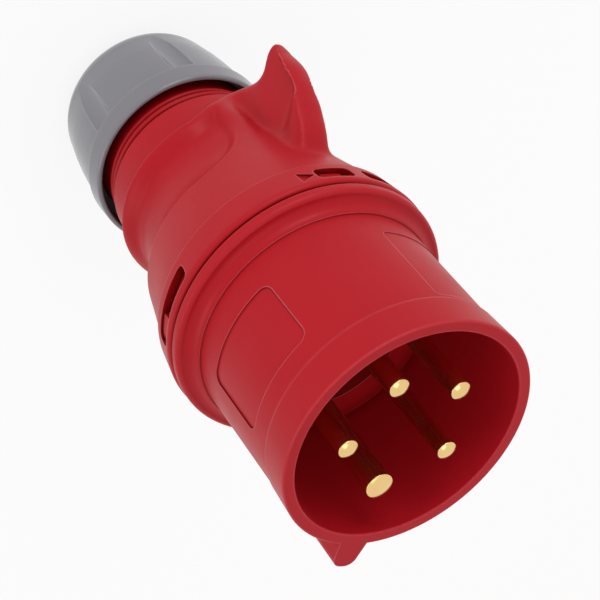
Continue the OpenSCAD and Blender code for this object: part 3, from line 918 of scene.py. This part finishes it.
    def build(self) -> bpy.types.Object:
        """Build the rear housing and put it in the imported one's place.

        Returns:
            The finished body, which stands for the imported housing.
        """
        body = self.body()
        fin = self.fin()
        apply_modifier(body, "BOOLEAN", operation="UNION", object=fin, solver="EXACT")
        bpy.data.objects.remove(fin)
        apply_modifier(body, "REMESH", mode="VOXEL", voxel_size=self.voxel * MM)
        self.soften(body)
        cut(body, self.cavity())
        neck = self.neck()
        collar = self.collar()
        body.name = "rear_shell"
        for part in (collar, neck, body):
            self.dresser.dress(part, RED_POLYAMIDE, smooth_deg=32.0)
            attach(part, "rear")
            log.info("%s: %d faces", part.name, len(part.data.polygons))
        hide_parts("rear_housing")
        return body


@dataclass
class GlandNut:
    """The gland nut: a domed cap with leaf-shaped scallops and a plain band at its front.

    Attributes:
        dresser: Gives the nut its finish.
        band_z: Rear edge of the band, in millimetres as all sizes here.
        front_z: Front face of the nut.
        scallops: Number of scallops.
        first_turn: Direction of the first scallop, in degrees.
        scallop_r: Radius of the round cutter.
        scallop_at: Distance of the cutter from the axis, at the band.
        foot_z: Where the cutter ends, below the nut.
        lean: How far the cutter leans towards the axis, in degrees.
    """

    dresser: Dresser
    band_z: float = 29.2
    front_z: float = 35.7
    scallops: int = 6
    first_turn: float = 49.5
    scallop_r: float = 5.5
    scallop_at: float = 29.9
    foot_z: float = -3.0
    lean: float = 3.2

    def cap(self) -> bpy.types.Object:
        """Build the cap before the scallops are cut.

        Returns:
            The cap, turned about the axis.
        """
        band, front = self.band_z, self.front_z
        profile = [(11.5, 0.0), (17.0, 0.0)]
        profile += arc_points((14.4, 8.8), 8.9, -63, -6, 24)
        profile += [(23.75, 10.6), (24.4, 14.2), (24.85, 17.6), (25.2, 21.2), (25.5, 25.0)]
        profile += [(25.7, 28.8), (26.0, band), (26.42, band + 0.3), (26.5, band + 0.6)]
        profile += arc_points((25.45, front - 0.8), 0.8, 0, 90, 6)
        profile += [(25.2, front), (24.8, front - 0.4), (24.8, 30.8), (22.7, 29.2)]
        profile += [(22.7, 15.7), (20.8, 15.7), (20.1, 14.7), (20.1, 3.5), (11.5, 3.5)]
        return turned_piece("nut_cap", profile, around=300)

    def scallop_cutter(self, turn: float) -> bpy.types.Object:
        """Build one leaning round cutter that ends flat under the band.

        Args:
            turn: Its place round the axis, in degrees.

        Returns:
            The cutter.
        """
        c, s = math.cos(math.radians(turn)), math.sin(math.radians(turn))
        drop = math.tan(math.radians(self.lean))
        rows = []
        for z in (self.band_z, self.foot_z):
            centre = self.scallop_at - (self.band_z - z) * drop
            row = []
            for k in range(SCALLOP_FACES):
                angle = 2 * math.pi * k / SCALLOP_FACES
                u, v = centre + self.scallop_r * math.cos(angle), self.scallop_r * math.sin(angle)
                row.append(((u * c - v * s) * MM, (u * s + v * c) * MM, z * MM))
            rows.append(row)
        cutter = grid_piece("scallop", rows, closed=True)
        face_outwards(cutter)
        return cutter

    def build(self) -> bpy.types.Object:
        """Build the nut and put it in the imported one's place.

        Returns:
            The finished piece.
        """
        piece = self.cap()
        for k in range(self.scallops):
            cut(piece, self.scallop_cutter(self.first_turn + 360 / self.scallops * k))
        piece.name = "nut_shell"
        self.dresser.dress(piece, GREY_POLYAMIDE, smooth_deg=25.0)
        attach(piece, "nut")
        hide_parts("gland_nut")
        log.info("nut_shell: %d faces", len(piece.data.polygons))
        return piece


@dataclass
class Contact:
    """A turned contact: domed pin in front, shank in the carrier and barrel behind.

    Attributes:
        dresser: Gives the contact its finish.
        node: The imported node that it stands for.
        turn: Its direction about the plug's axis, in degrees.
        pin_r: Radius of the pin, in millimetres as all sizes here.
        pitch_r: Distance of its own axis from the plug's.
        tip_z: Height of the tip.
        dome: Height of the domed end.
        rounding: Rounding between the pin's side and its dome.
        rear_z: Rear end of the barrel.
        barrel_z: Front end of the barrel, where the shank starts.
        shank_z: Front end of the shank, where the pin starts.
        barrel_r: Radius of a phase contact's barrel. The earth's is half as much thicker as its pin.
    """

    dresser: Dresser
    node: str
    turn: float
    pin_r: float = PHASE_PIN_R
    pitch_r: float = 15.3
    tip_z: float = 152.7
    dome: float = 0.75
    rounding: float = 0.35
    rear_z: float = 85.0
    barrel_z: float = 100.0
    shank_z: float = 114.2
    barrel_r: float = 4.4

    def profile(self) -> Line:
        """Draw the contact's section.

        Returns:
            Radius and height of each corner.
        """
        r, rear = self.pin_r, self.rear_z
        body_r = self.barrel_r + (r - PHASE_PIN_R) * 0.5
        profile = [(AXIS_R, rear), (1.9, rear), (body_r - 0.4, rear), (body_r, rear + 0.4)]
        profile += [(body_r, self.barrel_z), (r + 0.9, self.barrel_z), (r + 0.9, self.shank_z)]
        profile += [(r, self.shank_z)]
        base = self.tip_z - self.dome
        profile += arc_points((r - self.rounding, base - self.rounding), self.rounding, 0, 62, 6)
        edge_r, edge_z = profile[-1]
        for k in range(1, DOME_STEPS + 1):
            x = edge_r * (1 - k / DOME_STEPS)
            z = self.tip_z - (self.tip_z - edge_z) * (x / edge_r) ** 2
            profile.append((max(AXIS_R, x), z))
        return profile

    def build(self) -> bpy.types.Object:
        """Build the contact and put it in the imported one's place.

        Returns:
            The finished piece.
        """
        name = self.node.replace("pin_", "contact_")
        piece = turned_piece(name, self.profile(), around=72, step=4.0)
        a = math.radians(self.turn)
        reach = self.pitch_r * MM
        piece.data.transform(Matrix.Translation((reach * math.cos(a), reach * math.sin(a), 0.0)))
        self.dresser.dress(piece, TURNED_BRASS, smooth_deg=25.0)
        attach(piece, "front")
        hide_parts(self.node)
        log.info("%s: %d faces", piece.name, len(piece.data.polygons))
        return piece


@dataclass
class Studio:
    """Pale floor, soft lamps and the camera.

    Attributes:
        lamps: Name, place in metres and power in watts of each soft box.
        lamp_size: Side of a soft box, in metres.
        floor_white: Share of plain white in what the camera and reflections see of the floor.
        aim: Point on the plug's axis that the camera looks at.
        distance: From the aim to the camera, in metres.
        azimuth_deg: Camera's place round the axis, from +X.
        elevation_deg: Camera's height above the aim.
        roll_deg: Turn of the camera about its own axis.
        lens_mm: Focal length on a 36 mm sensor.
    """

    lamps: tuple = (
        ("key_softbox", (-0.35, 1.15, 0.2), 5.0),
        ("left_softbox", (-1.0, -0.6, 0.15), 3.0),
        ("front_softbox", (-0.3, 0.1, 1.3), 1.5),
    )
    lamp_size: float = 0.6
    floor_white: float = 0.85
    aim: Vector = field(default_factory=lambda: Vector((0.0, 0.0, 0.100)))
    distance: float = 0.4233
    azimuth_deg: float = 144.41
    elevation_deg: float = 42.23
    roll_deg: float = 141.18
    lens_mm: float = 104.24

    def add_camera(self) -> None:
        """Add the camera and make it the scene's own."""
        azimuth = math.radians(self.azimuth_deg)
        elevation = math.radians(self.elevation_deg)
        away = Vector((
            math.cos(elevation) * math.cos(azimuth),
            math.cos(elevation) * math.sin(azimuth),
            math.sin(elevation),
        ))
        bpy.ops.object.camera_add(location=self.aim + away * self.distance)
        camera = bpy.context.object
        camera.name = "studio_camera"
        turn = away.to_track_quat("Z", "Y").to_matrix() @ Matrix.Rotation(
            math.radians(self.roll_deg), 3, "Z"
        )
        camera.rotation_euler = turn.to_euler()
        camera.data.lens = self.lens_mm
        camera.data.sensor_width = 36.0
        camera.data.clip_start = 0.01
        bpy.context.scene.camera = camera

    def add_lamp(self, name: str, place: tuple, watts: float) -> None:
        """Add a square soft box that faces the plug.

        Args:
            name: Name of the lamp.
            place: Where it hangs, in metres.
            watts: Power.
        """
        bpy.ops.object.light_add(type="AREA", location=place)
        lamp = bpy.context.object
        lamp.name = name
        lamp.data.size = self.lamp_size
        lamp.data.energy = watts
        lamp.rotation_euler = (Vector(place) - self.aim).to_track_quat("Z", "Y").to_euler()

    def seen_by(self, tree: bpy.types.NodeTree, kinds: tuple) -> bpy.types.NodeSocket:
        """Tell rays of some kinds from all others.

        Args:
            tree: The node tree that asks.
            kinds: Names of the light path's outputs.

        Returns:
            A socket that is one for rays of these kinds, and zero for others.
        """
        rays = add_node(tree, "ShaderNodeLightPath")
        seen = rays.outputs[kinds[0]]
        for kind in kinds[1:]:
            seen = add_node(
                tree, "ShaderNodeMath", {}, {0: seen, 1: rays.outputs[kind]}, operation="MAXIMUM"
            ).outputs[0]
        return seen

    def add_world(self, strength: float = 0.72) -> None:
        """Light everything softly from all round and show white behind it.

        Args:
            strength: Strength of the light that falls on the plug.
        """
        world = bpy.data.worlds.new("studio_world")
        bpy.context.scene.world = world
        world.use_nodes = True
        tree = world.node_tree
        tree.nodes.clear()
        seen = self.seen_by(tree, ("Is Camera Ray", "Is Glossy Ray", "Is Transmission Ray"))
        soft = add_node(tree, "ShaderNodeBackground", {"Color": srgb("#FFFFFF"), "Strength": strength})
        white = add_node(tree, "ShaderNodeBackground", {"Color": srgb("#FFFFFF"), "Strength": 1.0})
        mixed = add_node(
            tree, "ShaderNodeMixShader",
            links={0: seen, 1: soft.outputs[0], 2: white.outputs[0]},
        )
        add_node(tree, "ShaderNodeOutputWorld", links={"Surface": mixed.outputs[0]})

    def add_floor(self, half: float = 1.5) -> None:
        """Lay the pale floor under the nut.

        Args:
            half: Half of the floor's side, in metres.
        """
        bpy.ops.mesh.primitive_plane_add(size=2 * half, location=(0, 0, 0))
        floor = bpy.context.object
        floor.name = "studio_floor"
        mat = bpy.data.materials.new("matt_white_paper")
        mat.use_nodes = True
        tree = mat.node_tree
        tree.nodes.clear()
        seen = self.seen_by(tree, ("Is Camera Ray", "Is Glossy Ray"))
        share = add_node(
            tree, "ShaderNodeMath", {1: self.floor_white}, {0: seen}, operation="MULTIPLY"
        ).outputs[0]
        paper = add_node(tree, "ShaderNodeBsdfDiffuse", {"Color": srgb("#FAFAFA")})
        white = add_node(tree, "ShaderNodeEmission", {"Color": srgb("#FFFFFF"), "Strength": 1.0})
        mixed = add_node(
            tree, "ShaderNodeMixShader", links={0: share, 1: paper.outputs[0], 2: white.outputs[0]}
        )
        add_node(tree, "ShaderNodeOutputMaterial", links={"Surface": mixed.outputs[0]})
        floor.data.materials.append(mat)

    def build(self) -> None:
        """Set up the whole studio."""
        bpy.context.scene.view_settings.view_transform = "Standard"
        self.add_world()
        self.add_floor()
        for name, place, watts in self.lamps:
            self.add_lamp(name, place, watts)
        self.add_camera()


def main() -> None:
    """Dress the plug, add its shaped pieces and set up the studio."""
    logging.basicConfig(level=logging.INFO, format="%(name)s: %(message)s")
    Studio().build()
    dresser = Dresser()
    dresser.dress_nodes()
    RearHousing(dresser).build()
    GlandNut(dresser).build()
    for node, turn, pin_r in CONTACTS:
        Contact(dresser, node, turn, pin_r).build()


if __name__ == "__main__":
    main()
